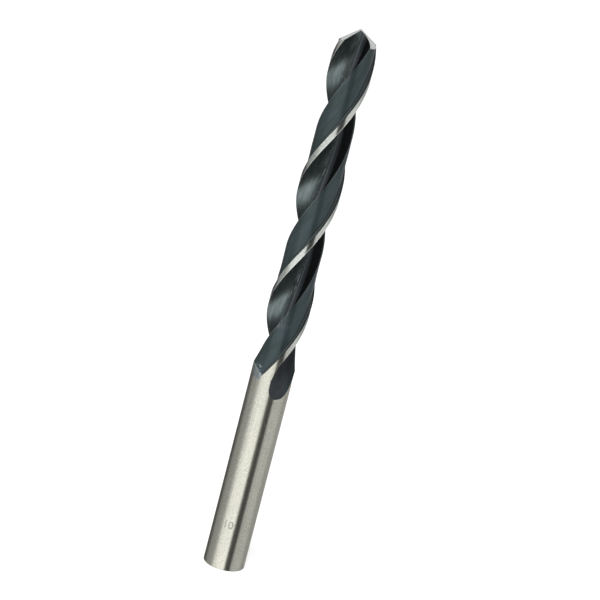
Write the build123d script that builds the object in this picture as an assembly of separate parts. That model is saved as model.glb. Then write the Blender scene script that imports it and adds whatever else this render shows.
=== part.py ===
from build123d import *
from math import asin, cos, degrees, pi, radians, sin, sqrt, tan
import os

os.makedirs("parts", exist_ok=True)

# TWIST DRILL, ONE PIECE OF HIGH SPEED STEEL, STANDING ON ITS SHANK WITH THE POINT UP
# Z runs along the axis from the shank end to the point, X runs along the two cutting lips.

# Overall sizes in millimetres
drill_dia = 10.0          # over the margins at the point
overall_length = 133.0    # shank end to chisel edge
flute_length = 88.6       # point to the last trace of the flutes
back_taper = 0.04         # the body is this much thinner at the shank, measured across
shank_gap = 0.5           # plain ring of the body between the run-outs and the shank
shank_break = 0.2         # small broken edge round the shank end

# Flutes
helix_angle = 28.8        # degrees, right hand
web_point = 1.6           # core between the flutes at the point
web_back = 2.3            # core where the run-out starts
runout_length = 10.1      # axial length over which a flute rises out of the bar
runout_turn = 75.0        # degrees round from the leading edge, the way the flute rises
land_angle = 93.0         # degrees of bar left between the flutes, margin included

# Lands
margin_width = 1.2        # ground margin, measured square to its edge
clearance_depth = 0.68    # body clearance below the margin
clearance_root = 0.5      # radius at the foot of the margin step
clearance_rise = 6.5      # axial length over which the clearance rises out of the bar
clearance_turn = -84.0    # degrees round from the leading edge, the way it rises
clearance_stop = 4.3      # its last trace is this far above that of the flutes

# Point
point_angle = 118.0       # degrees, between the lips
lip_relief = 12.5         # degrees the flank falls away behind the lip
flank_setback = 2.1       # the flank cone has its tip this far past the axis

# How the cutting shapes are drawn
cutter_clear = 1.5        # they start and stop this far clear of the bar
heel_overlap = 8.0        # degrees the body clearance runs past the heel
turn_step = 30.0          # degrees of helix between two sections
runout_steps = 10         # sections along the run-out
ramp_steps = 8            # sections along the ramp of the body clearance
rake_steps = 6            # points down the rake face

# Back of the flute from core to heel, each as share of the depth and degrees past the heel
back_of_flute = ((0.07, 4.0), (0.22, 14.0), (0.44, 13.5), (0.71, 7.5), (1.0, 0.0), (1.33, -8.0))

radius = drill_dia / 2
shank_radius = radius - back_taper / 2
land_radius = radius - clearance_depth
lead = pi * drill_dia / tan(radians(helix_angle))
half_point = radians(point_angle / 2)
lip_slope = 1 / tan(half_point)

# The lips lie half a web ahead of the axis, so their outer corners stand at this turn
corner_turn = degrees(asin(web_point / 2 / radius))


def flank_height_over_axis():
    """How far the axis meets the flank cone below the tip of that cone."""
    s, c, turn = sin(half_point), cos(half_point), radians(lip_relief)
    ax, ay, az = -c * s * (1 - cos(turn)), -s * sin(turn), cos(turn) + c * c * (1 - cos(turn))
    across = -flank_setback * ax + web_point / 2 * ay
    qa = az**2 - c**2
    qb = 2 * across * az
    qc = across**2 - c**2 * (flank_setback**2 + (web_point / 2) ** 2)
    return (-qb + sqrt(qb**2 - 4 * qa * qc)) / (2 * qa)


flank_tip_z = overall_length + flank_height_over_axis()
lip_top = flank_tip_z - lip_slope * flank_setback
corner_z = lip_top - lip_slope * radius * cos(radians(corner_turn))

flute_end_z = overall_length - flute_length
shank_top_z = flute_end_z - shank_gap
runout_z = flute_end_z + runout_length
clearance_end_z = flute_end_z + clearance_stop
clearance_full_z = clearance_end_z + clearance_rise
top_z = overall_length + cutter_clear


def edge_turn(z):
    """Turn of the leading edge at a height, in degrees round from X."""
    return corner_turn + 360.0 * (z - corner_z) / lead


def polar(r, turn):
    return (r * cos(radians(turn)), r * sin(radians(turn)))


def web_at(z):
    share = (corner_z - z) / (corner_z - runout_z)
    return web_point + (web_back - web_point) * min(max(share, 0.0), 1.0)


def rake_turn(r, web):
    """Turn of the rake face from the leading edge, which makes the ground lip straight."""
    half = web / 2
    ahead = degrees(asin(min(half / r, 1.0)) - asin(half / radius))
    rise = lip_slope * (sqrt(radius**2 - half**2) - sqrt(max(r**2 - half**2, 0.0)))
    return ahead - 360.0 * rise / lead


def flute_section(z):
    """Closed outline of the space one flute takes at a height."""
    web = web_at(z)
    core = web / 2
    heel = 180.0 - land_angle
    points = [polar(radius + cutter_clear, rake_turn(radius + cutter_clear, web))]
    for step in range(rake_steps, -1, -1):
        r = core + (radius - core) * (step / rake_steps) ** 2
        points.append(polar(r, rake_turn(r, web)))
    for share, past in back_of_flute:
        points.append(polar(core + share * (land_radius - core), heel + past))
    rise = 0.0
    if z < runout_z:
        rise = (radius - core) * ((runout_z - z) / runout_length) ** 2
    shift = polar(rise, runout_turn)
    wall = Spline(*[(x + shift[0], y + shift[1]) for x, y in points])
    back = ThreePointArc(wall @ 1, polar(drill_dia + rise, heel / 2), wall @ 0)
    return Wire([wall, back])


def clearance_section(z):
    """Closed outline of the body clearance behind one margin at a height."""
    near = -degrees(margin_width / cos(radians(helix_angle)) / radius)
    far = -land_angle - heel_overlap
    root_turn = near - degrees(clearance_root / (land_radius + clearance_root))
    rise = 0.0
    if z < clearance_full_z:
        rise = clearance_depth * ((clearance_full_z - z) / clearance_rise) ** 2
        rise /= cos(radians(root_turn - clearance_turn))

    def floor(turn):
        return land_radius + rise * cos(radians(turn - clearance_turn))

    bend = floor(root_turn) + clearance_root
    centre = Vector(*polar(bend, root_turn))
    knee = centre + Vector(*polar(clearance_root, root_turn + 135.0))
    foot = polar(floor(root_turn), root_turn)
    middle = (root_turn + far) / 2
    top = land_radius + rise + clearance_root + cutter_clear
    return Wire([
        Line(polar(top, near), polar(bend, near)),
        ThreePointArc(polar(bend, near), knee, foot),
        ThreePointArc(foot, polar(floor(middle), middle), polar(floor(far), far)),
        Line(polar(floor(far), far), polar(top, far)),
        ThreePointArc(polar(top, far), polar(top, (near + far) / 2), polar(top, near)),
    ])


def spaced(low, high, count):
    return [low + (high - low) * i / count for i in range(count + 1)]


def helical_cutter(section, end_z, full_z, end_steps):
    """Solid swept up the helix through sections, close together over the end and wider above it."""
    end_step = (full_z - end_z) / end_steps
    body_steps = round((top_z - full_z) / lead * 360.0 / turn_step)
    heights = [end_z - end_step / 2] + spaced(end_z, full_z, end_steps)
    heights += spaced(full_z, top_z, body_steps)[1:]
    wires = []
    for z in heights:
        wires.append(section(z).rotate(Axis.Z, edge_turn(z)).moved(Location((0, 0, z))))
    return Solid.make_loft(wires)


def flank_cutter():
    """Everything above one relieved flank of the point."""
    cone_height = 4 * drill_dia
    cone = Cone(cone_height * tan(half_point), 0, cone_height, align=(Align.CENTER, Align.CENTER, Align.MAX))
    lip_line = Axis((0, 0, 0), (sin(half_point), 0, -cos(half_point)))
    cone = cone.rotate(lip_line, lip_relief).moved(Location((-flank_setback, web_point / 2, flank_tip_z)))
    block = Cylinder(drill_dia, 2 * drill_dia)
    return block.moved(Location((0, 0, overall_length))) - cone


# Shank, and the body with its back taper
shank = Cylinder(shank_radius, shank_top_z, align=(Align.CENTER, Align.CENTER, Align.MIN))
shank = chamfer(shank.edges().sort_by(Axis.Z)[0], shank_break)
taper_rate = (radius - shank_radius) / (corner_z - shank_top_z)
top_radius = radius + taper_rate * (top_z - corner_z)
body = Cone(shank_radius, top_radius, top_z - shank_top_z, align=(Align.CENTER, Align.CENTER, Align.MIN))
bar = shank + body.moved(Location((0, 0, shank_top_z)))

# Point with its two flanks
flank = flank_cutter()
bar = bar - flank - flank.rotate(Axis.Z, 180)

# Body clearance behind both margins
clearance = helical_cutter(clearance_section, clearance_end_z, clearance_full_z, ramp_steps)
bar = bar - clearance - clearance.rotate(Axis.Z, 180)

# The two flutes with their run-outs
flute = helical_cutter(flute_section, flute_end_z, runout_z, runout_steps)
bar = bar - flute - flute.rotate(Axis.Z, 180)

twist_drill = bar.solids().sort_by(SortBy.VOLUME)[-1]
twist_drill.label = "twist_drill"
export_step(twist_drill, "parts/twist_drill.step")
print("solids", len(bar.solids()), "volume", round(twist_drill.volume, 1), "faces", len(twist_drill.faces()))
print("lead", round(lead, 3), "lip corner z", round(corner_z, 3), "lip line top", round(lip_top, 3))
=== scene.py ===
# %% [markdown]
# # A twist drill bit, ten millimetres across
#
# The drill is one piece of hardened steel. Its shank is ground bright, and two flutes wind
# up the body to a ground point. After grinding, the flutes and the relieved lands keep a
# blue-black oxide, while the narrow margins beside the flutes are ground bright again.
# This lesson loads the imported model, gives the steel its finishes and sets up the picture.

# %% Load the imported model
from math import cos, pi, radians, sin, tan

import bmesh
import bpy
from mathutils import Matrix, Vector


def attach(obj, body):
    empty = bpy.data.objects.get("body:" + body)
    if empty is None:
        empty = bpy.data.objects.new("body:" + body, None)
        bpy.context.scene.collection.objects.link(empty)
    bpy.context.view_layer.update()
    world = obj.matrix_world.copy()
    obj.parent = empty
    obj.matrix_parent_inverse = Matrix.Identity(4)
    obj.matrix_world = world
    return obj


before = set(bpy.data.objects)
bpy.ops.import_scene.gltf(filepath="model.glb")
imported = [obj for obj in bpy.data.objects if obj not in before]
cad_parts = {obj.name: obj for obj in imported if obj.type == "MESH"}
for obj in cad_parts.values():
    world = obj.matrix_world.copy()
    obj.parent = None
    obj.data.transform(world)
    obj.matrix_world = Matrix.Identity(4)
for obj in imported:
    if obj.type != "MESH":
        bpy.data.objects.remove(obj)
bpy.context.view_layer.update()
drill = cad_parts["twist_drill"]

# %% [markdown]
# ## Sizes
#
# Everything in Blender is in metres, so a size in millimetres is multiplied by `MM`.
# The lead is the height in which a flute goes once round the drill. The finishes need it,
# because what was ground or rubbed along a flute winds up the drill with it.

# %% Sizes of the drill
MM = 0.001
RADIUS = 5.0 * MM
HELIX_ANGLE = 28.8        # degrees
LEAD = 2 * pi * RADIUS / tan(radians(HELIX_ANGLE))
CORNER_TURN = 9.2         # where the outer corner of a lip stands, in degrees round from X
CORNER_HEIGHT = 130.34 * MM
HEEL = 87.0               # the flute ends this many degrees on from its leading edge
LAND_RADIUS = 4.32 * MM   # the relieved land lies this far from the axis
print("lead in mm", round(LEAD / MM, 2))

# %% [markdown]
# ## The camera
#
# The picture was taken with a long lens from a little above, and the camera was tilted, so
# that the standing drill leans to the right in the frame. Three angles say it best: where
# the camera stands round the drill, how steeply it looks down, and how far it is rolled.

# %% Camera
CAMERA_TURN = 47.1        # degrees round from X that the view looks along
CAMERA_DOWN = 16.198      # degrees below the horizon
CAMERA_ROLL = 14.494      # degrees
CAMERA_DISTANCE = 636.42 * MM
CAMERA_LENS = 164.85      # in millimetres, as Blender counts lenses
CAMERA_SENSOR = 36.0      # and the width of the sensor behind it
AIM_HEIGHT = 67.922 * MM
AIM_RIGHT = 1.945 * MM

ahead = Vector((
    cos(radians(CAMERA_DOWN)) * cos(radians(CAMERA_TURN)),
    cos(radians(CAMERA_DOWN)) * sin(radians(CAMERA_TURN)),
    -sin(radians(CAMERA_DOWN)),
))
level_right = ahead.cross(Vector((0, 0, 1))).normalized()
level_up = level_right.cross(ahead)
roll = radians(CAMERA_ROLL)
right = level_right * cos(roll) + level_up * sin(roll)
up = level_up * cos(roll) - level_right * sin(roll)
aim = Vector((0, 0, AIM_HEIGHT)) + level_right * AIM_RIGHT
place = aim - ahead * CAMERA_DISTANCE

camera_data = bpy.data.cameras.new("camera")
camera_data.lens = CAMERA_LENS
camera_data.sensor_width = CAMERA_SENSOR
camera_data.clip_start = 0.01
camera_data.clip_end = 50.0
camera = bpy.data.objects.new("camera", camera_data)
bpy.context.scene.collection.objects.link(camera)
view_axes = Matrix((right, up, -ahead)).transposed().to_4x4()
camera.matrix_world = Matrix.Translation(place) @ view_axes
bpy.context.scene.camera = camera
print("camera at", [round(v, 3) for v in place])

# %% [markdown]
# ## Helpers for node materials
#
# A procedural material is a small calculation that Blender makes at every point of the
# surface. It could be clicked together in the node editor, but written out it can be read
# and changed. The first helpers make an empty material, add a node, link its inputs and
# hand back its output.

# %% Helpers that make nodes
def new_material(name):
    """A material with an empty node tree, and its output node."""
    material = bpy.data.materials.new(name)
    material.use_nodes = True
    tree = material.node_tree
    tree.nodes.clear()
    output = tree.nodes.new("ShaderNodeOutputMaterial")
    return material, tree, output


def feed(tree, socket, value):
    """Gives a socket a number, a colour or another node's output."""
    if isinstance(value, bpy.types.NodeSocket):
        tree.links.new(value, socket)
    else:
        socket.default_value = value


def math_node(tree, operation, *values):
    node = tree.nodes.new("ShaderNodeMath")
    node.operation = operation
    for socket, value in zip(node.inputs, values):
        feed(tree, socket, value)
    return node.outputs[0]


def ramp(tree, value, low, high, out_low=0.0, out_high=1.0):
    """Maps low..high to out_low..out_high along a smooth step, and holds the ends."""
    node = tree.nodes.new("ShaderNodeMapRange")
    node.interpolation_type = "SMOOTHSTEP"
    for socket, number in zip(node.inputs, (value, low, high, out_low, out_high)):
        feed(tree, socket, number)
    return node.outputs[0]


print("helpers for nodes:", math_node.__name__, ramp.__name__)

# %% [markdown]
# ## Helpers for masks
#
# A mask is a number that is one where a finish is and nought where it isn't. Masks are
# joined like sets: the product is what lies in all of them, and the largest is what lies
# in any of them.

# %% Helpers for masks
def product(tree, *masks):
    """One where every mask is one."""
    result = masks[0]
    for mask in masks[1:]:
        result = math_node(tree, "MULTIPLY", result, mask)
    return result


def largest(tree, *masks):
    """One where any mask is one."""
    result = masks[0]
    for mask in masks[1:]:
        result = math_node(tree, "MAXIMUM", result, mask)
    return result


def outside(tree, mask):
    """One where the mask is nought."""
    return math_node(tree, "SUBTRACT", 1.0, mask)


def band(tree, value, low, high, soft):
    """One between low and high, nought elsewhere, with soft edges."""
    rising = ramp(tree, value, low - soft, low + soft)
    falling = ramp(tree, value, high + soft, high - soft)
    return product(tree, rising, falling)


print("helpers for masks:", product.__name__, largest.__name__, outside.__name__, band.__name__)

# %% [markdown]
# ## Helpers for vectors, noises and mixing
#
# A place on the drill is a vector, and a noise reads it after it has been stretched along
# the way that a tool moved. One Mix node serves numbers, vectors and colours, but each of
# the three has its own pair of inputs and its own output, which a short table remembers.

# %% Helpers for vectors, noises and mixing
MIX_SOCKETS = {"FLOAT": (2, 3, 0), "VECTOR": (4, 5, 1), "RGBA": (6, 7, 2)}


def mixed(tree, kind, share, first, second):
    """Goes from the first to the second as the share goes from 0 to 1."""
    first_input, second_input, result = MIX_SOCKETS[kind]
    node = tree.nodes.new("ShaderNodeMix")
    node.data_type = kind
    feed(tree, node.inputs[0], share)
    feed(tree, node.inputs[first_input], first)
    feed(tree, node.inputs[second_input], second)
    return node.outputs[result]


def blend(tree, share, first, second):
    return mixed(tree, "FLOAT", share, first, second)


def mix_vector(tree, share, first, second):
    return mixed(tree, "VECTOR", share, first, second)


def mix_colour(tree, share, first, second):
    return mixed(tree, "RGBA", share, first, second)


def split(tree, vector):
    """The three parts of a vector."""
    node = tree.nodes.new("ShaderNodeSeparateXYZ")
    feed(tree, node.inputs[0], vector)
    return node.outputs


def vector_of(tree, x, y, z):
    node = tree.nodes.new("ShaderNodeCombineXYZ")
    for socket, value in zip(node.inputs, (x, y, z)):
        feed(tree, socket, value)
    return node.outputs[0]


def dot_pair(tree, a, b, c, d):
    """a times c plus b times d."""
    return math_node(tree, "MULTIPLY_ADD", a, c, math_node(tree, "MULTIPLY", b, d))


def scaled(tree, vector, scale, shift=(0, 0, 0)):
    node = tree.nodes.new("ShaderNodeMapping")
    node.inputs["Scale"].default_value = scale
    node.inputs["Location"].default_value = shift
    tree.links.new(vector, node.inputs["Vector"])
    return node.outputs[0]


def noise(tree, vector, scale, detail, roughness):
    node = tree.nodes.new("ShaderNodeTexNoise")
    node.inputs["Scale"].default_value = scale
    node.inputs["Detail"].default_value = detail
    node.inputs["Roughness"].default_value = roughness
    tree.links.new(vector, node.inputs["Vector"])
    return node.outputs[0]


print("the Mix node serves", ", ".join(MIX_SOCKETS))

# %% [markdown]
# ## Finding a place on the drill
#
# On the real drill each finish belongs to a ground surface: the shank, the two margins, the
# flutes, the lands behind the margins and the point. A mask for each could be painted by
# hand, but the grinding followed exact paths, so the masks are worked out from where a point
# lies. Four values are enough: how far it is from the axis, how squarely the surface faces
# away from the axis, its height, and how many degrees it is past the leading edge of its
# flute. The last one takes the twist of the helix out again. It is counted from -15 to 165
# degrees, so that both flutes share it and a margin lies at its two ends.

# %% Places on the drill
DEGREE = radians(1.0)
FIRST_DEGREE = -15.0
LAST_DEGREE = 165.0

steel_material, tree, steel_output = new_material("drill_steel")
coordinates = tree.nodes.new("ShaderNodeTexCoord")
spot = coordinates.outputs["Object"]
facing = coordinates.outputs["Normal"]
x, y, z = split(tree, spot)
nx, ny, nz = split(tree, facing)

from_axis = math_node(tree, "SQRT", dot_pair(tree, x, y, x, y))
outward = math_node(tree, "DIVIDE", dot_pair(tree, x, y, nx, ny), from_axis)
turn = math_node(tree, "ARCTAN2", y, x)
unwinding = math_node(
    tree, "MULTIPLY_ADD", z, -2 * pi / LEAD,
    2 * pi * CORNER_HEIGHT / LEAD - CORNER_TURN * DEGREE,
)
past_edge = math_node(
    tree, "WRAP", math_node(tree, "ADD", turn, unwinding),
    LAST_DEGREE * DEGREE, FIRST_DEGREE * DEGREE,
)
straightened = tree.nodes.new("ShaderNodeVectorRotate")
straightened.rotation_type = "Z_AXIS"
feed(tree, straightened.inputs["Vector"], spot)
feed(tree, straightened.inputs["Angle"], unwinding)
along_flute = straightened.outputs[0]
print("degrees of twist in a millimetre", round(360 * MM / LEAD, 3))

# %% [markdown]
# ## Where the relieved land ends
#
# Behind each margin the land is ground a little lower than the bar. At its lower end the
# wheel was lifted away, so the land climbs to the bar again, and its end line is the curve
# on which the wheel left the bar. The land climbs most steeply at one turn and more slowly
# to both sides of it, which the cosine gives.

# %% End line of the land
RAMP_TOP = 55.2 * MM      # below this the land climbs out of the bar
RAMP_LENGTH = 6.5 * MM
RAMP_TURN = 96.0          # degrees past the leading edge at which it climbs most steeply
FOOT_SHARE = 0.449        # share of that climb at the foot of the margin step
STEP_TURN = 160.0         # the margin step rises here, in degrees past the leading edge

climb = math_node(tree, "COSINE", math_node(tree, "SUBTRACT", past_edge, RAMP_TURN * DEGREE))
climb = math_node(tree, "SQRT", math_node(tree, "DIVIDE", FOOT_SHARE, climb))
end_line = math_node(tree, "MULTIPLY_ADD", climb, -RAMP_LENGTH, RAMP_TOP)
above_line = math_node(tree, "SUBTRACT", z, end_line)
on_land = band(tree, past_edge, (HEEL - 0.3) * DEGREE, STEP_TURN * DEGREE, 0.3 * DEGREE)
on_ramp = product(tree, on_land, ramp(tree, above_line, -0.05 * MM, 0.05 * MM))
print("the land reaches the bar at", round((RAMP_TOP - RAMP_LENGTH) / MM, 1), "mm")

# %% [markdown]
# ## Where the steel is ground bright
#
# The shank and the margins are the only surfaces that reach the drill's full radius, so a
# place is bright when it is far enough from the axis and faces straight outwards, unless it
# is on the land that climbs to the same radius. The two flanks of the point and the broken
# edge at the shank end are added by height. A place is in a flute when it is between the
# leading edge and the heel, or deeper than the land.

# %% Bright places
BAR_REACH = (4.74 * MM, 4.78 * MM)     # how far out a place on the bar lies
FACES_OUT = (0.975, 0.985)             # and how squarely it faces away from the axis
FACES_UP = (0.60, 0.65)                # the flanks of the point face up at least this much
POINT_LOW = (127 * MM, 128 * MM)
FOOT_HIGH = (0.4 * MM, 0.3 * MM)
BELOW_LAND = (LAND_RADIUS - 0.035 * MM, LAND_RADIUS - 0.055 * MM)

on_bar = product(
    tree, ramp(tree, from_axis, *BAR_REACH), ramp(tree, outward, *FACES_OUT),
    outside(tree, on_ramp),
)
on_point = product(tree, ramp(tree, nz, *FACES_UP), ramp(tree, z, *POINT_LOW))
at_foot = ramp(tree, z, *FOOT_HIGH)
bright = largest(tree, on_bar, on_point, at_foot)
in_flute = largest(
    tree, ramp(tree, past_edge, (HEEL + 0.3) * DEGREE, (HEEL - 0.3) * DEGREE),
    ramp(tree, from_axis, *BELOW_LAND),
)
print("nodes for the places", len(tree.nodes))

# %% [markdown]
# ## Ground bright steel
#
# Grinding leaves a fine grain. Seen up close it is rings round the shank, and at arm's
# length it reads as a soft mottle with a few long marks from handling. Three noises make
# it: one nearly even, one squeezed along the axis so that it draws out into rings, and one
# stretched along the axis. The shank is a warm, slightly yellow grey, the margins a little
# cooler, and the freshly ground point is neutral.

# %% Bright steel colours
mottle = noise(tree, scaled(tree, spot, (1, 1, 0.8)), 4400.0, 2.0, 0.6)
rings = noise(tree, scaled(tree, spot, (0.15, 0.15, 1.0)), 5000.0, 3.0, 0.6)
long_marks = noise(tree, scaled(tree, spot, (1, 1, 0.02)), 2600.0, 2.0, 0.5)
grain = blend(tree, 0.3, mottle, rings)
grain = blend(tree, 0.22, grain, long_marks)
fine_share = ramp(tree, grain, 0.38, 0.62)

shank_colour = mix_colour(tree, fine_share, (0.69, 0.685, 0.595, 1), (0.97, 0.965, 0.85, 1))
margin_colour = mix_colour(tree, fine_share, (0.70, 0.725, 0.68, 1), (0.94, 0.975, 0.92, 1))
point_colour = mix_colour(tree, fine_share, (0.66, 0.68, 0.665, 1), (0.78, 0.80, 0.785, 1))
above_shank = ramp(tree, z, 50 * MM, 60 * MM)
ground_colour = mix_colour(tree, above_shank, shank_colour, margin_colour)
ground_colour = mix_colour(tree, on_point, ground_colour, point_colour)
print("nodes with the bright steel", len(tree.nodes))

# %% [markdown]
# ## Blue-black oxide on the lands
#
# Steam treatment turns hardened steel a dark blue-green grey. The oxide is thin, so the
# land still reflects like metal, only darker, and it carries faint streaks along the
# helix where the wheel passed. The straightened coordinates make that easy: a noise
# stretched along their Z follows the flute. The oxide drifts between green and blue from
# place to place. Along the foot of the margin step a darker band is painted shade, and a
# faint light line beside it is a painted highlight for the glint of the concave corner.

# %% Land colours
streaks = noise(tree, scaled(tree, along_flute, (1, 1, 0.12)), 1800.0, 4.0, 0.65)
cloud = noise(tree, scaled(tree, along_flute, (1, 1, 0.5), (3, 1, 2)), 260.0, 2.0, 0.5)
oxide_share = ramp(tree, blend(tree, 0.4, streaks, cloud), 0.38, 0.62)

green_oxide = mix_colour(tree, oxide_share, (0.043, 0.062, 0.062, 1), (0.060, 0.086, 0.085, 1))
blue_oxide = mix_colour(tree, oxide_share, (0.043, 0.061, 0.067, 1), (0.059, 0.083, 0.091, 1))
land_colour = mix_colour(tree, ramp(tree, cloud, 0.42, 0.58), green_oxide, blue_oxide)

clear_of_ramp = ramp(tree, z, 49 * MM, 53 * MM)
# Painted shade: a dark band along the foot of the margin step. Beside it a painted highlight, a
# light line for the glint of the concave corner.
step_foot_painted_shade = product(tree, ramp(tree, past_edge, 156 * DEGREE, 158.5 * DEGREE), clear_of_ramp)
step_painted_highlight = product(
    tree, step_foot_painted_shade,
    band(tree, past_edge, STEP_TURN * DEGREE, (STEP_TURN + 3.2) * DEGREE, 0.8 * DEGREE),
)
land_colour = mix_colour(tree, step_foot_painted_shade, land_colour, (0.026, 0.032, 0.034, 1))
land_colour = mix_colour(tree, step_painted_highlight, land_colour, (0.14, 0.165, 0.17, 1))
print("nodes with the lands", len(tree.nodes))

# %% [markdown]
# ## The flutes
#
# Inside a flute the oxide is darker still. The hollow beside the leading edge is where
# chips slide, so there it has been rubbed to a smoother, lighter grey, and the rubbing
# fades out towards the heel in ragged streaks. The fade is one smooth step across the
# flute, broken by the streak noise and by a finer one for single scratches. The steep wall
# below the heel is painted a lighter grey, painted light that lifts the deep shade there,
# and the run-out is a more neutral grey.

# %% Where the flutes are rubbed and scratched
RAGGED = 44.0             # degrees over which the streaks shift the end of the rubbing

scratches = noise(tree, scaled(tree, along_flute, (1, 1, 0.10), (1, 4, 0)), 3600.0, 3.0, 0.7)
above_runout = ramp(tree, z, 54 * MM, 62 * MM)
ragged = math_node(tree, "MULTIPLY_ADD", streaks, RAGGED * DEGREE, -RAGGED / 2 * DEGREE)
rubbed_to = math_node(tree, "ADD", past_edge, ragged)
rubbed = product(tree, ramp(tree, rubbed_to, 68 * DEGREE, 44 * DEGREE), above_runout)
scratched = product(
    tree, ramp(tree, scratches, 0.57, 0.65), above_runout,
    band(tree, past_edge, 26 * DEGREE, 70 * DEGREE, 8 * DEGREE),
    ramp(tree, z, 127 * MM, 122 * MM),
)
# The steep wall below the heel, where painted light lifts the shade.
heel_wall_painted_light = ramp(tree, past_edge, 78 * DEGREE, 88 * DEGREE)
near_runout = ramp(tree, z, 60 * MM, 54 * MM)
print("the rubbing ends up to", RAGGED / 2, "degrees early or late")

# %% [markdown]
# ## The greys of the flutes
#
# Steam-treated steel is never quite even, so each grey is a pair, a darker and a lighter
# one, and the oxide noise chooses between them. The masks then lay the greys over one
# another, from the darkest at the bottom to the scratches on top.

# %% Flute colours
dark_colour = mix_colour(tree, oxide_share, (0.022, 0.029, 0.031, 1), (0.034, 0.043, 0.045, 1))
runout_colour = mix_colour(tree, oxide_share, (0.031, 0.036, 0.040, 1), (0.043, 0.049, 0.054, 1))
rubbed_colour = mix_colour(tree, oxide_share, (0.064, 0.082, 0.082, 1), (0.116, 0.140, 0.139, 1))
# Painted light: the wall below the heel is made lighter to lift its deep shade.
dark_colour = mix_colour(tree, heel_wall_painted_light, dark_colour, (0.095, 0.108, 0.120, 1))
dark_colour = mix_colour(tree, near_runout, dark_colour, runout_colour)
flute_colour = mix_colour(tree, rubbed, dark_colour, rubbed_colour)
flute_colour = mix_colour(tree, scratched, flute_colour, (0.30, 0.33, 0.33, 1))
oxide_colour = mix_colour(tree, in_flute, land_colour, flute_colour)
print("nodes with the flutes", len(tree.nodes))

# %% [markdown]
# ## Worn edges and painted glints
#
# Edges lose their oxide first, so the heel of each land shows a hair-thin bright line, which
# is also a painted highlight for the glint along that edge. The leading edge of each margin
# is slightly dulled and kept pale, a painted highlight that stays even where the margin
# mirrors something dark. Both lines follow the helix, and a narrow band of the degrees past
# the leading edge draws each of them.

# %% Worn edges and painted glints
HEEL_LINE = (HEEL - 0.3, HEEL + 1.1)   # degrees past the leading edge
LEAD_LINE = (-1.3, 0.3)

# The heel line is worn oxide and also a painted highlight for the glint of the edge.
heel_wear_and_glint = product(
    tree, band(tree, past_edge, HEEL_LINE[0] * DEGREE, HEEL_LINE[1] * DEGREE, 0.5 * DEGREE),
    ramp(tree, z, 52 * MM, 54 * MM),
)
oxide_colour = mix_colour(tree, heel_wear_and_glint, oxide_colour, (0.24, 0.27, 0.27, 1))
# The leading edge line is dulled steel and also a painted highlight that stays pale.
lead_edge_dull_and_glint = product(
    tree, band(tree, past_edge, LEAD_LINE[0] * DEGREE, LEAD_LINE[1] * DEGREE, 0.5 * DEGREE),
    on_bar, above_shank,
)
heel_width = (HEEL_LINE[1] - HEEL_LINE[0]) * DEGREE * LAND_RADIUS
print("heel line, mm wide", round(heel_width / MM, 2))

# %% [markdown]
# ## The worn patch
#
# At the lower end of one land a patch has worn down to a dull light grey, half on the land
# and half on the shank, with a few chips above it and a pale fringe below the end line. The
# patch is bounded by two heights and by the turn round the drill, counted from the side
# away from X, and a noise makes its edge uneven.

# %% Worn patch
PATCH_LOW = 48.2 * MM
PATCH_HIGH = 49.6 * MM
PATCH_UNEVEN = 1.6 * MM
CHIPS_HIGH = 51.5 * MM
CHIPS_SHARE = 0.6         # how far the oxide is gone in the chips
FRINGE_SHARE = 0.7        # and in the fringe

turn_from_back = math_node(
    tree, "ARCTAN2", math_node(tree, "MULTIPLY", y, -1.0), math_node(tree, "MULTIPLY", x, -1.0),
)
chipping = noise(tree, scaled(tree, spot, (1, 1, 1), (2, 5, 1)), 1500.0, 3.0, 0.6)
uneven = math_node(tree, "MULTIPLY_ADD", chipping, PATCH_UNEVEN, -PATCH_UNEVEN / 2)
patch_place = math_node(tree, "ADD", z, uneven)
patch = product(
    tree, band(tree, patch_place, PATCH_LOW, PATCH_HIGH, 0.1 * MM),
    band(tree, turn_from_back, -20 * DEGREE, 17 * DEGREE, 2 * DEGREE),
)
chips = product(
    tree, band(tree, z, PATCH_HIGH, CHIPS_HIGH, 0.2 * MM),
    band(tree, turn_from_back, -12 * DEGREE, 13 * DEGREE, 3 * DEGREE),
    ramp(tree, chipping, 0.53, 0.60), on_ramp, CHIPS_SHARE,
)
fringe = product(
    tree, band(tree, above_line, -1.6 * MM, 0.14 * MM, 0.04 * MM),
    band(tree, turn_from_back, -36 * DEGREE, 6 * DEGREE, 3 * DEGREE), FRINGE_SHARE,
)
worn = largest(tree, patch, chips, fringe)
worn_colour = mix_colour(tree, fine_share, (0.46, 0.53, 0.56, 1), (0.60, 0.69, 0.73, 1))
print("worn patch, mm high", round((PATCH_HIGH - PATCH_LOW) / MM, 1))

# %% [markdown]
# ## One shader for the whole drill
#
# It is all the same steel, so one Principled shader serves every finish, and the masks only
# choose its colour, how metallic it is and how rough. Bare steel is fully metallic. Oxide
# is partly so, which leaves it a little dull colour of its own beside its dark shine.

# %% Colour and metal
LAND_METAL = 0.5
DARK_METAL = 0.2
RUBBED_METAL = 0.8
# The leading edge loses metal so that it shows pale, a painted highlight as well as dulling.
EDGE_DULLING = 0.55       # how much metal the dulled leading edge loses

steel = tree.nodes.new("ShaderNodeBsdfPrincipled")
colour = mix_colour(tree, bright, oxide_colour, ground_colour)
colour = mix_colour(tree, worn, colour, worn_colour)
feed(tree, steel.inputs["Base Color"], colour)

oxide_metal = blend(tree, in_flute, LAND_METAL, blend(tree, rubbed, DARK_METAL, RUBBED_METAL))
metal = largest(tree, oxide_metal, step_painted_highlight, heel_wear_and_glint, bright, worn)
edge_shine = math_node(tree, "MULTIPLY_ADD", lead_edge_dull_and_glint, -EDGE_DULLING, 1.0)
feed(tree, steel.inputs["Metallic"], product(tree, metal, edge_shine))
print("the land is", LAND_METAL, "metallic, its rubbed flute", RUBBED_METAL)

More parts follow.
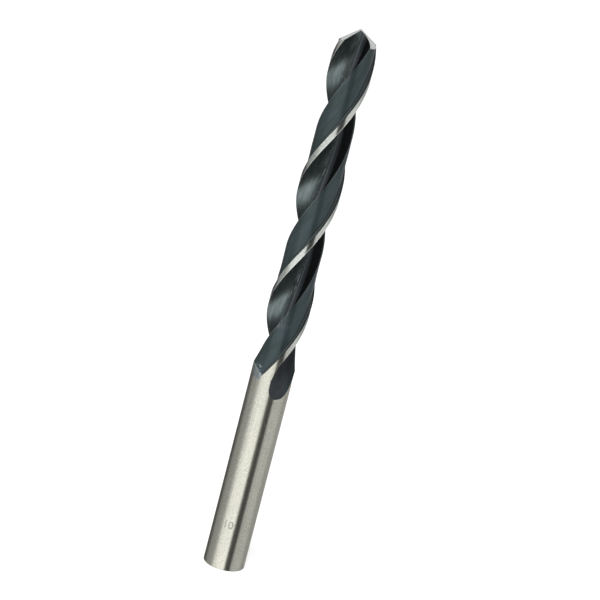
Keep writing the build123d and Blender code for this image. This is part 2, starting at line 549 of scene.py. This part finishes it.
# %% [markdown]
# ## How rough each finish is
#
# Roughness says how far a finish blurs what it mirrors. The rubbed flutes and the margins
# mirror best, and the worn patch worst. One value for each finish is enough, and only the
# flutes are made a little uneven by their fine scratches.

# %% Roughness
SHANK_ROUGHNESS = 0.35
MARGIN_ROUGHNESS = 0.29
LAND_ROUGHNESS = 0.36
FLUTE_ROUGHNESS = 0.34
RUBBED_ROUGHNESS = 0.22
WORN_ROUGHNESS = 0.45
SCRATCH_ROUGHNESS = 0.16  # how much the fine scratches vary the roughness of a flute

flute_rough = blend(tree, rubbed, FLUTE_ROUGHNESS, RUBBED_ROUGHNESS)
uneven_rough = math_node(
    tree, "MULTIPLY_ADD", scratches, SCRATCH_ROUGHNESS, -SCRATCH_ROUGHNESS / 2,
)
flute_rough = math_node(tree, "ADD", flute_rough, uneven_rough)
bright_rough = blend(tree, above_shank, SHANK_ROUGHNESS, MARGIN_ROUGHNESS)
rough = blend(tree, in_flute, LAND_ROUGHNESS, flute_rough)
rough = blend(tree, bright, rough, bright_rough)
feed(tree, steel.inputs["Roughness"], blend(tree, worn, rough, WORN_ROUGHNESS))
steel.inputs["IOR"].default_value = 1.45
print("shank roughness", SHANK_ROUGHNESS, "margin roughness", MARGIN_ROUGHNESS)

# %% [markdown]
# ## The direction of the grinding
#
# The grinding rings round the axis stretch every reflection up and down, which is why a
# ground bar shows long straight bands of light and dark. Anisotropy does the same, with its
# tangent along the axis. In the flutes the wheel ran lengthwise, so there the tangent lies
# across the flute. It is square to the surface's normal and to the way that the flute
# winds, which is what a cross product gives.

# %% Direction of the grinding
STRETCHED = 0.95          # how strongly the grinding stretches the reflections

winding = vector_of(
    tree, math_node(tree, "MULTIPLY", y, -2 * pi / LEAD),
    math_node(tree, "MULTIPLY", x, 2 * pi / LEAD), 1.0,
)
across_flute = tree.nodes.new("ShaderNodeVectorMath")
across_flute.operation = "CROSS_PRODUCT"
feed(tree, across_flute.inputs[0], facing)
feed(tree, across_flute.inputs[1], winding)
flute_only = product(tree, in_flute, outside(tree, bright))
up_the_axis = vector_of(tree, 0.0, 0.0, 1.0)
tangent = mix_vector(tree, flute_only, up_the_axis, across_flute.outputs[0])
feed(tree, steel.inputs["Tangent"], tangent)
steel.inputs["Anisotropic"].default_value = STRETCHED
print("reflections stretched by", STRETCHED)

# %% [markdown]
# ## Fine relief and true roundness
#
# A shallow bump lets the grain break up the reflections a little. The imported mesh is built
# of small flat facets, so its shading normals only come near those of the real surface. On
# the bar and the lands that surface is round, and the normal is taken straight out from the
# axis instead, which keeps the edges of the reflections crisp. At the ramp of the land it
# goes back to the mesh's own normal.

# %% Relief and roundness
plain_land = product(
    tree, band(tree, past_edge, 89 * DEGREE, 156 * DEGREE, 0.5 * DEGREE),
    ramp(tree, z, 55 * MM, 61 * MM),
)
round_share = product(tree, largest(tree, on_bar, plain_land), outside(tree, on_point))
straight_out = tree.nodes.new("ShaderNodeVectorMath")
straight_out.operation = "NORMALIZE"
feed(tree, straight_out.inputs[0], vector_of(tree, x, y, 0.0))

relief = tree.nodes.new("ShaderNodeBump")
relief.inputs["Strength"].default_value = 0.25
relief.inputs["Distance"].default_value = 0.01 * MM
feed(tree, relief.inputs["Height"], blend(tree, bright, scratches, grain))
round_normal = mix_vector(tree, round_share, facing, straight_out.outputs[0])
feed(tree, relief.inputs["Normal"], round_normal)
feed(tree, steel.inputs["Normal"], relief.outputs[0])
feed(tree, steel_output.inputs["Surface"], steel.outputs[0])
drill.data.materials.clear()
drill.data.materials.append(steel_material)
print("nodes in the steel", len(tree.nodes))

# %% [markdown]
# ## The size number
#
# Drills carry their diameter near the end of the shank. It is marked with light, shallow
# strokes, so it could be only a colour, but a real outline stays crisp from close by. The
# digits start as a text object, which is made a mesh before anything else happens to it.

# %% Digits as a mesh
NUMBER_HEIGHT = 1.9 * MM
DIGIT_SHARE = 0.7         # a digit is this share of the text size high

text = bpy.data.curves.new("size_number", "FONT")
text.body = "10"
text.size = NUMBER_HEIGHT / DIGIT_SHARE
text.align_x = "CENTER"
text.align_y = "CENTER"
text_object = bpy.data.objects.new("size_text", text)
digits_mesh = bpy.data.meshes.new_from_object(text_object)
bpy.data.objects.remove(text_object)
print("corners of the digits", len(digits_mesh.vertices))

# %% [markdown]
# ## Strips, thickness and bend
#
# A flat face can't follow a round shank, so the digits are first cut into narrow upright
# strips. They get a thickness of a few hundredths of a millimetre, inwards, and are then
# bent round the shank: the distance from the middle of the text becomes a turn.

# %% Strips, thickness and bend
NUMBER_MIDDLE = 11.4 * MM
NUMBER_TURN = 213.0       # degrees round from X
NUMBER_SKIN = 4.985 * MM  # just proud of the shank
NUMBER_DEPTH = 0.04 * MM
STRIP = 0.2 * MM
CUTS_EACH_WAY = 8

shape = bmesh.new()
shape.from_mesh(digits_mesh)
bmesh.ops.remove_doubles(shape, verts=shape.verts, dist=0.002 * MM)
for cut in range(-CUTS_EACH_WAY, CUTS_EACH_WAY + 1):
    bmesh.ops.bisect_plane(
        shape, geom=shape.verts[:] + shape.edges[:] + shape.faces[:],
        plane_co=(cut * STRIP, 0, 0), plane_no=(1, 0, 0), dist=0.001 * MM,
    )
back = bmesh.ops.extrude_face_region(shape, geom=shape.faces[:])["geom"]
back_corners = [item for item in back if isinstance(item, bmesh.types.BMVert)]
bmesh.ops.translate(shape, verts=back_corners, vec=(0, 0, -NUMBER_DEPTH))
for corner in shape.verts:
    reach = NUMBER_SKIN + corner.co.z
    around = radians(NUMBER_TURN) + corner.co.x / NUMBER_SKIN
    corner.co = (reach * cos(around), reach * sin(around), NUMBER_MIDDLE + corner.co.y)
bmesh.ops.recalc_face_normals(shape, faces=shape.faces)
open_edges = sum(not edge.is_manifold for edge in shape.edges)
shape.to_mesh(digits_mesh)
shape.free()
number = bpy.data.objects.new("size_number", digits_mesh)
bpy.context.scene.collection.objects.link(number)
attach(number, "root")
print("size number:", len(digits_mesh.polygons), "faces,", open_edges, "open edges")

# %% [markdown]
# ## The finish of the number
#
# The marked strokes are duller and rougher than the ground shank round them. A plain grey
# would look printed, so one noise varies both the colour and the roughness.

# %% Marked steel
marked_material, tree, output = new_material("marked_steel")
coordinates = tree.nodes.new("ShaderNodeTexCoord")
specks = noise(tree, coordinates.outputs["Object"], 4200.0, 3.0, 0.6)
speck_share = ramp(tree, specks, 0.4, 0.6)
marked_colour = mix_colour(tree, speck_share, (0.42, 0.42, 0.38, 1), (0.62, 0.62, 0.56, 1))
marked = tree.nodes.new("ShaderNodeBsdfPrincipled")
feed(tree, marked.inputs["Base Color"], marked_colour)
marked.inputs["Metallic"].default_value = 1.0
feed(tree, marked.inputs["Roughness"], ramp(tree, specks, 0.3, 0.7, 0.42, 0.6))
feed(tree, output.inputs["Surface"], marked.outputs[0])
digits_mesh.materials.clear()
digits_mesh.materials.append(marked_material)
print("nodes in the marked steel", len(tree.nodes))

# %% [markdown]
# ## The floor
#
# The drill stands on a plain white surface, for which a wide disc is enough. Polished steel
# must not mirror the disc's edge, so reflections leave it out and meet the tent described
# below.

# %% Floor
FLOOR_RADIUS = 4.0

floor_mesh = bpy.data.meshes.new("floor")
shape = bmesh.new()
bmesh.ops.create_circle(shape, cap_ends=True, segments=64, radius=FLOOR_RADIUS)
shape.to_mesh(floor_mesh)
shape.free()
floor = bpy.data.objects.new("floor", floor_mesh)
bpy.context.scene.collection.objects.link(floor)
floor.visible_glossy = False
print("floor", 2 * FLOOR_RADIUS, "m across")

# %% [markdown]
# ## The floor's white
#
# The floor's own colour is pale, and where the camera sees it directly a little light of
# its own lifts it to white, so no extra light has to fall on the steel. The lift is smaller
# near the drill, where the lamps do most of the work, so that the soft shadow at its foot
# is kept.

# %% White of the floor
FLOOR_PALE = 0.85
GLOW_NEAR = 0.48          # lift beside the drill
GLOW_FAR = 0.70           # and out where the lamps hardly reach
NEAR_ENDS = 0.1           # metres from the drill
FAR_STARTS = 1.5

floor_material, tree, output = new_material("floor_white")
diffuse = tree.nodes.new("ShaderNodeBsdfDiffuse")
diffuse.inputs["Color"].default_value = (FLOOR_PALE, FLOOR_PALE, FLOOR_PALE, 1)
coordinates = tree.nodes.new("ShaderNodeTexCoord")
floor_x, floor_y, _ = split(tree, coordinates.outputs["Object"])
from_drill = math_node(tree, "SQRT", dot_pair(tree, floor_x, floor_y, floor_x, floor_y))
lift = ramp(tree, from_drill, NEAR_ENDS, FAR_STARTS, GLOW_NEAR, GLOW_FAR)
seen = tree.nodes.new("ShaderNodeLightPath").outputs["Is Camera Ray"]
glow = tree.nodes.new("ShaderNodeEmission")
feed(tree, glow.inputs["Strength"], product(tree, seen, lift))
both = tree.nodes.new("ShaderNodeAddShader")
feed(tree, both.inputs[0], diffuse.outputs[0])
feed(tree, both.inputs[1], glow.outputs[0])
feed(tree, output.inputs["Surface"], both.outputs[0])
floor_mesh.materials.append(floor_material)
print("the floor's lift goes from", GLOW_NEAR, "to", GLOW_FAR)

# %% [markdown]
# ## The world
#
# The background is white wherever the camera, a reflection or a see-through ray reaches it.
# For all other rays the world is dimmer, which gives the soft light that fills the shadows.

# %% World
AMBIENT = 0.36            # strength of the soft light from all round

world = bpy.data.worlds.new("studio")
world.use_nodes = True
bpy.context.scene.world = world
tree = world.node_tree
tree.nodes.clear()
output = tree.nodes.new("ShaderNodeOutputWorld")
background = tree.nodes.new("ShaderNodeBackground")
paths = tree.nodes.new("ShaderNodeLightPath").outputs
shown = largest(
    tree, paths["Is Camera Ray"], paths["Is Glossy Ray"], paths["Is Transmission Ray"],
)
strength = math_node(tree, "MULTIPLY_ADD", shown, 1.0 - AMBIENT, AMBIENT)
background.inputs["Color"].default_value = (1, 1, 1, 1)
feed(tree, background.inputs["Strength"], strength)
feed(tree, output.inputs["Surface"], background.outputs[0])
print("ambient light", AMBIENT)

# %% [markdown]
# ## The reflection tent
#
# Bright steel has hardly any colour of its own: what is seen in it is the room. In a studio
# that is a tent of pale cloth with a dark gap or two, and the gaps draw the long dark bands
# on the shank. Here the tent is one large sphere that only reflections can see. The camera
# looks through it, and it casts no shadow.

# %% Reflection tent
TENT_RADIUS = 2.5

tent_mesh = bpy.data.meshes.new("tent")
shape = bmesh.new()
bmesh.ops.create_uvsphere(shape, u_segments=48, v_segments=24, radius=TENT_RADIUS)
shape.to_mesh(tent_mesh)
shape.free()
tent = bpy.data.objects.new("tent", tent_mesh)
bpy.context.scene.collection.objects.link(tent)
for kind in ("camera", "diffuse", "transmission", "shadow", "volume_scatter"):
    setattr(tent, "visible_" + kind, False)
print("tent radius in m", TENT_RADIUS)

# %% [markdown]
# ## Greys round the tent
#
# Three rings of grey go round the tent: a low one, which holds the bright source in front,
# a middle one with the dark gap, and the roof. Each ring is a list of angles to the right
# of the picture's viewpoint, with the grey at that angle. The rings are fixed in the room,
# so they stay where they are when the drill is looked at from another side.

# %% Greys round the tent
BRIGHTEST = 2.2           # the colour ramps hold each grey as a share of this
LOW = (
    (-180, 0.03), (-130, 0.02), (-110, 0.02), (-76, 0.06), (-54, 2.2), (7, 2.2), (14, 0.20),
    (24, 0.05), (36, 0.03), (120, 0.03), (180, 0.03),
)
MIDDLE = (
    (-180, 0.40), (-160, 0.30), (-148, 0.0), (-122, 0.0), (-108, 0.25), (-62, 0.40),
    (-52, 0.50), (-46, 0.55), (7, 0.55), (12, 0.005), (39, 0.005), (45, 0.90), (88, 0.85),
    (105, 0.55), (120, 0.32), (180, 0.35),
)
ROOF = (
    (-180, 0.7), (-140, 0.7), (-60, 0.7), (-40, 0.22), (100, 0.22), (130, 0.7), (180, 0.7),
)


def tone_around(tree, share, steps):
    """Grey by the share of a turn, from steps of an angle and a grey."""
    node = tree.nodes.new("ShaderNodeValToRGB")
    node.color_ramp.interpolation = "LINEAR"
    stops = node.color_ramp.elements
    while len(stops) > 1:
        stops.remove(stops[0])
    for count, (angle, grey) in enumerate(steps):
        stop = stops[0] if count == 0 else stops.new((angle + 180) / 360)
        stop.position = (angle + 180) / 360
        stop.color = (grey / BRIGHTEST, grey / BRIGHTEST, grey / BRIGHTEST, 1)
    feed(tree, node.inputs[0], share)
    return node.outputs[0]


print("greys in the tent:", len(LOW) + len(MIDDLE) + len(ROOF))

# %% [markdown]
# ## The cloth of the tent
#
# The cloth shines with its own grey. A point's angle round the tent picks the grey from
# each ring, and its height blends the rings into one another, because a hard edge in the
# room would show as a hard line in the steel.

# %% Cloth of the tent
LOW_ENDS = -34            # degrees above the horizon at which one ring starts to
MIDDLE_STARTS = -20       # give way to the next, and at which it is gone
MIDDLE_ENDS = 2
ROOF_STARTS = 10

tent_material, tree, output = new_material("tent")
coordinates = tree.nodes.new("ShaderNodeTexCoord")
from_view = tree.nodes.new("ShaderNodeVectorRotate")
from_view.rotation_type = "Z_AXIS"
from_view.inputs["Angle"].default_value = radians(180 - CAMERA_TURN)
feed(tree, from_view.inputs["Vector"], coordinates.outputs["Object"])
tent_x, tent_y, tent_z = split(tree, from_view.outputs[0])
angle = math_node(tree, "ARCTAN2", tent_y, tent_x)
share = math_node(tree, "MULTIPLY_ADD", angle, 1 / (2 * pi), 0.5)
height = math_node(tree, "DIVIDE", tent_z, TENT_RADIUS)
low_to_middle = ramp(tree, height, sin(radians(LOW_ENDS)), sin(radians(MIDDLE_STARTS)))
middle_to_roof = ramp(tree, height, sin(radians(MIDDLE_ENDS)), sin(radians(ROOF_STARTS)))
grey = mix_colour(
    tree, low_to_middle, tone_around(tree, share, LOW), tone_around(tree, share, MIDDLE),
)
grey = mix_colour(tree, middle_to_roof, grey, tone_around(tree, share, ROOF))
glow = tree.nodes.new("ShaderNodeEmission")
feed(tree, glow.inputs["Color"], grey)
glow.inputs["Strength"].default_value = BRIGHTEST
feed(tree, output.inputs["Surface"], glow.outputs[0])
tent_mesh.materials.append(tent_material)
print("nodes in the tent", len(tree.nodes))

# %% [markdown]
# ## The lamps
#
# Two large square lamps give the oxide its soft shading and the drill its faint shadow on
# the floor. A lamp that is large beside its distance gives soft edges. The lamps don't show
# in reflections, because the tent already holds what the steel mirrors.

# %% Lamps
LAMP_SIZE = 0.7


def lamp(name, turn, height, distance, power):
    """A square soft lamp that looks at the middle of the drill."""
    data = bpy.data.lights.new(name, "AREA")
    data.shape = "SQUARE"
    data.size = LAMP_SIZE
    data.energy = power
    item = bpy.data.objects.new(name, data)
    bpy.context.scene.collection.objects.link(item)
    azimuth = radians(CAMERA_TURN - 180 + turn)
    item.location = Vector((distance * cos(azimuth), distance * sin(azimuth), height))
    item.rotation_mode = "QUATERNION"
    looks_along = item.location - Vector((0, 0, AIM_HEIGHT))
    item.rotation_quaternion = looks_along.to_track_quat("Z", "Y")
    item.visible_glossy = False
    print(name, power, "W")


lamp("lamp_left", turn=-22, height=0.9, distance=0.9, power=12)
lamp("lamp_right", turn=70, height=1.0, distance=1.0, power=5)

# %% [markdown]
# ## The view
#
# The Standard view shows colours as they are written.

# %% View settings
bpy.context.scene.view_settings.view_transform = "Standard"
